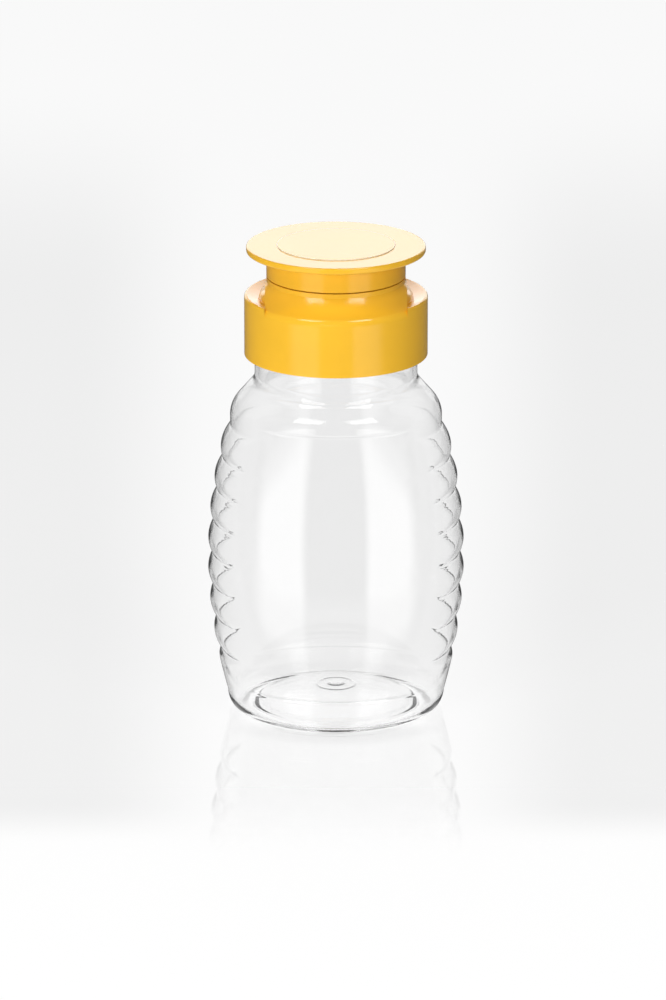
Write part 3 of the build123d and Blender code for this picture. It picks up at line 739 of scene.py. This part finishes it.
    def levels(self):
        """Heights of the rings between the heel and the neck, closer together in the grooves."""
        first, pitch = self.shape.first_groove, self.shape.rib_pitch
        levels = [*self.BAND_LEVELS, first]
        levels += [first + (index + (1 - cos(pi * step / self.RIB_STEPS)) / 2) * pitch
                   for index in range(self.shape.rib_count) for step in range(1, self.RIB_STEPS + 1)]
        levels += [self.top_groove + rise for rise in self.CROWN_LEVELS]
        levels += [self.crown_z + self.CROWN_ARC * sin(self.SLOPE * share / 9) for share in range(3, 10)]
        levels += [self.slope_low + (self.slope_high - self.slope_low) * share / 6 for share in range(1, 7)]
        levels += [self.neck_z - self.NECK_ARC * sin(self.SLOPE * share / 6) for share in range(5, -1, -1)]
        return levels


class HONEY_OT_bottle(bpy.types.Operator):
    """Models the clear bottle as one closed shell, with its ribs, panels, dome, neck and thread"""

    bl_idname = "honey.bottle"
    bl_label = "Clear Bottle"

    SEGMENTS = 192
    GATE = ((0.0006, 0.00442), (0.0012, 0.00443), (0.0015, 0.00447), (0.0017, 0.00452), (0.0020, 0.00455))
    DOME_RIM, DOME_CROWN = (0.0182, 0.0013), 0.0046
    FLOOR_RIM, FLOOR_CROWN = (0.0174, 0.0021), 0.0054
    MARK_RADIUS, MARK_REACH, MARK_DEPTH = 0.0043, 0.0005, 0.00005
    FOOT = ((0.01845, 0.00105), (0.01858, 0.0007), (0.01866, 0.0003), (0.0189, 0.00006), (0.0193, 0.0))
    GUTTER = ((0.0208, 0.00072), (0.0200, 0.00066), (0.0194, 0.00076), (0.0188, 0.0011), (0.0180, 0.0018))
    DOME_RINGS = (0.0026, 0.0034, 0.0039, 0.0042, 0.0044, 0.0047, 0.0052, 0.0062, 0.0078, 0.0096, 0.0115,
                  0.0132, 0.0148, 0.0162, 0.0173, 0.0180)
    FLOOR_RINGS = (0.0173, 0.0164, 0.0150, 0.0132, 0.0112, 0.0092, 0.0072, 0.0052, 0.0034, 0.0018, 0.0008)
    HEEL_TURNS, INNER_HEEL_TURNS = (84, 78, 71, 63, 54, 44, 33, 22, 11, 0), (70, 58, 45, 33, 22, 11, 0)
    HEEL_FULLNESS = 0.8
    INNER_FLOOR_Z, THICKER_Z, NECK_BORE_R, RIB_WALL = 0.0007, 0.0785, 0.0180, 0.00006
    LEDGE_Z, LIP_Z, ROOT_R, BORE_R = 0.08801, 0.0982, 0.01755, 0.0159
    CORNER = 0.0003
    THREAD_Z, THREAD_PITCH, THREAD_TURNS, THREAD_HEIGHT = 0.09153, 0.004233, 1.25, 0.0012
    THREAD_HALF, THREAD_FLANK, THREAD_RUN_OUT, THREAD_RINGS = 0.0012, 0.0006, 0.15, 32

    def execute(self, context):
        self.shape = bottle_shape()
        self.wall = BlownWall(self.shape)
        shell = bmesh.new()
        self.ring = bmesh.ops.create_circle(shell, radius=0.001, segments=self.SEGMENTS)["verts"]
        for corner in self.ring:
            angle = spread_angle(atan2(corner.co.y, corner.co.x) % tau)
            corner.co = Vector((cos(angle), sin(angle), 0)) * 0.001
        self.edges = list(shell.edges)
        self.underside(shell)
        self.outside(shell)
        self.neck(shell)
        self.inside(shell)
        bmesh.ops.recalc_face_normals(shell, faces=shell.faces)
        for face in shell.faces:
            face.smooth = True
        mesh = bpy.data.meshes.new("bottle_shell")
        shell.to_mesh(mesh)
        shell.free()
        piece = bpy.data.objects.new("bottle_shell", mesh)
        context.scene.collection.objects.link(piece)
        mesh.materials.append(clear_plastic())
        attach(piece, "bottle")
        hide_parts("bottle")
        return {"FINISHED"}

    def place(self, z, radius):
        """Moves the open ring to height z, to one radius or to a radius for each angle."""
        for corner in self.ring:
            angle = atan2(corner.co.y, corner.co.x)
            reach = radius(angle) if callable(radius) else radius
            corner.co = Vector((reach * cos(angle), reach * sin(angle), z))

    def grow(self, shell, z, radius):
        """Extrudes the open ring by one band and places its new edge."""
        grown = bmesh.ops.extrude_edge_only(shell, edges=self.edges)["geom"]
        self.ring = [item for item in grown if isinstance(item, bmesh.types.BMVert)]
        self.edges = [item for item in grown if isinstance(item, bmesh.types.BMEdge) and item.is_boundary]
        self.place(z, radius)

    def close(self, shell, z):
        """Draws a ring together into a pole on the axis."""
        bmesh.ops.pointmerge(shell, verts=self.ring, merge_co=Vector((0, 0, z)))

    def dome_height(self, radius, rim, crown):
        """Height of a dome's arc at a radius."""
        drop = crown - rim[1]
        arc = (rim[0] ** 2 + drop ** 2) / (2 * drop)
        return crown - arc + sqrt(arc ** 2 - radius ** 2)

    def underside(self, shell):
        """Gate mark, pressed-up dome with a shallow ring on it, and the inside of the foot."""
        pole = self.ring
        self.place(self.GATE[0][1], self.GATE[0][0])
        for radius, z in self.GATE[1:]:
            self.grow(shell, z, radius)
        for radius in self.DOME_RINGS:
            mark = self.MARK_DEPTH * max(1 - abs(radius - self.MARK_RADIUS) / self.MARK_REACH, 0.0)
            self.grow(shell, self.dome_height(radius, self.DOME_RIM, self.DOME_CROWN) - mark, radius)
        for radius, z in self.FOOT:
            self.grow(shell, z, radius)
        last, self.ring = self.ring, pole
        self.close(shell, self.GATE[0][1])
        self.ring = last

    def heel(self, floor_z, foot_r, inset, angles):
        """Rings of the heel, as (height, radius for each angle), from the foot up."""
        wall = self.wall
        width, depth = wall.oval(wall.HEEL_Z)
        rings = []
        for turn in angles:
            out = cos(radians(turn)) ** self.HEEL_FULLNESS
            z = floor_z + (wall.HEEL_Z - floor_z) * (1 - sin(radians(turn)))
            across = foot_r + (width - inset - foot_r) * out
            along = foot_r + (depth - inset - foot_r) * out
            rings.append((z, lambda angle, a=across, b=along: oval_radius(angle, a, b)))
        return rings

    def outside(self, shell):
        """Foot, heel, base band, ribs and shoulder."""
        self.grow(shell, 0.0, self.shape.foot_radius - 0.0010)
        self.grow(shell, 0.00003, self.shape.foot_radius - 0.0003)
        for z, radius in self.heel(0.0, self.shape.foot_radius, 0.0, self.HEEL_TURNS):
            self.grow(shell, z, radius)
        for z in self.wall.levels():
            self.grow(shell, z, self.wall.outline(z, 0.0))

    def thread(self, z, angle):
        """How far the thread stands out of the finish at one point."""
        out = 0.0
        for turn in (angle % tau, angle % tau + tau):
            if turn <= self.THREAD_TURNS * tau:
                away = abs(z - self.THREAD_Z - self.THREAD_PITCH * turn / tau)
                left = self.THREAD_TURNS * tau - turn
                ends = ease(turn, 0.0, self.THREAD_RUN_OUT) * ease(left, 0.0, self.THREAD_RUN_OUT)
                out = max(out, ends * ease(self.THREAD_HALF - away, 0.0, self.THREAD_FLANK))
        return out * self.THREAD_HEIGHT

    def neck(self, shell):
        """Neck, ledge, threaded finish and rounded mouth."""
        neck_r, root_r, bore_r, wide_r = self.shape.neck_radius, self.ROOT_R, self.BORE_R, self.NECK_BORE_R
        ledge, lip, corner, bevel = self.LEDGE_Z, self.LIP_Z, self.CORNER, self.CORNER / 3
        for z, radius in ((0.0842, neck_r), (0.0862, neck_r), (ledge - corner, neck_r),
                          (ledge - bevel, neck_r - bevel), (ledge, neck_r - corner),
                          (ledge, root_r + corner), (ledge + corner, root_r)):
            self.grow(shell, z, radius)
        low, high = ledge + corner, lip - corner
        for step in range(1, self.THREAD_RINGS + 1):
            z = low + (high - low) * step / self.THREAD_RINGS
            fade = ease(high + bevel - z, 0, corner)
            self.grow(shell, z, lambda angle: root_r + self.thread(z, angle) * fade)
        for z, radius in ((lip - bevel, root_r - bevel), (lip, root_r - corner),
                          (lip, bore_r + corner), (lip - bevel, bore_r + bevel),
                          (lip - corner, bore_r), (0.0935, bore_r), (0.0890, bore_r),
                          (0.0886, bore_r + 0.0002), (0.0875, wide_r - 0.0002),
                          (0.0871, wide_r), (0.0855, wide_r), (0.0838, wide_r)):
            self.grow(shell, z, radius)

    def inside(self, shell):
        """Inner face of the blown wall, down to the floor's dome."""
        wall, thin = self.wall, self.shape.wall
        thicker = self.shape.neck_radius - self.NECK_BORE_R - thin
        for z in reversed(wall.levels()):
            inset = thin + thicker * ease(z, self.THICKER_Z, wall.neck_z)
            self.grow(shell, z, wall.outline(z, inset, self.RIB_WALL))
        heel = self.heel(self.INNER_FLOOR_Z, self.shape.foot_radius - thin, thin, self.INNER_HEEL_TURNS)
        for z, radius in reversed(heel):
            self.grow(shell, z, radius)
        for radius, z in self.GUTTER:
            self.grow(shell, z, radius)
        for radius in self.FLOOR_RINGS:
            self.grow(shell, self.dome_height(radius, self.FLOOR_RIM, self.FLOOR_CROWN), radius)
        self.close(shell, self.FLOOR_CROWN)


class HONEY_OT_closure(bpy.types.Operator):
    """Gives the screw closure, its lid and the hinge film their yellow plastic"""

    bl_idname = "honey.closure"
    bl_label = "Closure and Lid"

    def execute(self, context):
        material = yellow_plastic()
        for node in CLOSURE_NODES:
            dress(node, material)
        return {"FINISHED"}


class HONEY_OT_valve(bpy.types.Operator):
    """Gives the valve, its retaining ring and the foam liner their finishes"""

    bl_idname = "honey.valve"
    bl_label = "Valve, Ring and Liner"

    def execute(self, context):
        dress("dispensing_valve", silicone())
        dress("valve_retainer", white_plastic())
        dress("neck_liner", foam())
        return {"FINISHED"}


STEPS = (HONEY_OT_stage, HONEY_OT_bottle, HONEY_OT_closure, HONEY_OT_valve)


class HONEY_PT_panel(bpy.types.Panel):
    """Lists the bottle's steps, sizes and colours"""

    bl_idname = "HONEY_PT_panel"
    bl_label = "Honey Bottle"
    bl_space_type = "VIEW_3D"
    bl_region_type = "UI"
    bl_category = "Honey Bottle"

    def draw(self, context):
        for step in STEPS:
            self.layout.operator(step.bl_idname)
        for group in (stage_sizes(), bottle_shape(), colours()):
            box = self.layout.box()
            for name in group.__annotations__:
                box.prop(group, name)


CLASSES = (StageSizes, BottleShape, BottleColours, *STEPS, HONEY_PT_panel)


def register():
    for cls in CLASSES:
        bpy.utils.register_class(cls)
    bpy.types.Scene.honey_stage_sizes = PointerProperty(type=StageSizes)
    bpy.types.Scene.honey_bottle_shape = PointerProperty(type=BottleShape)
    bpy.types.Scene.honey_bottle_colours = PointerProperty(type=BottleColours)


def unregister():
    del bpy.types.Scene.honey_bottle_colours
    del bpy.types.Scene.honey_bottle_shape
    del bpy.types.Scene.honey_stage_sizes
    for cls in reversed(CLASSES):
        bpy.utils.unregister_class(cls)


def main():
    register()
    bpy.ops.honey.stage()
    bpy.ops.honey.bottle()
    bpy.ops.honey.closure()
    bpy.ops.honey.valve()


if __name__ == "__main__":
    main()
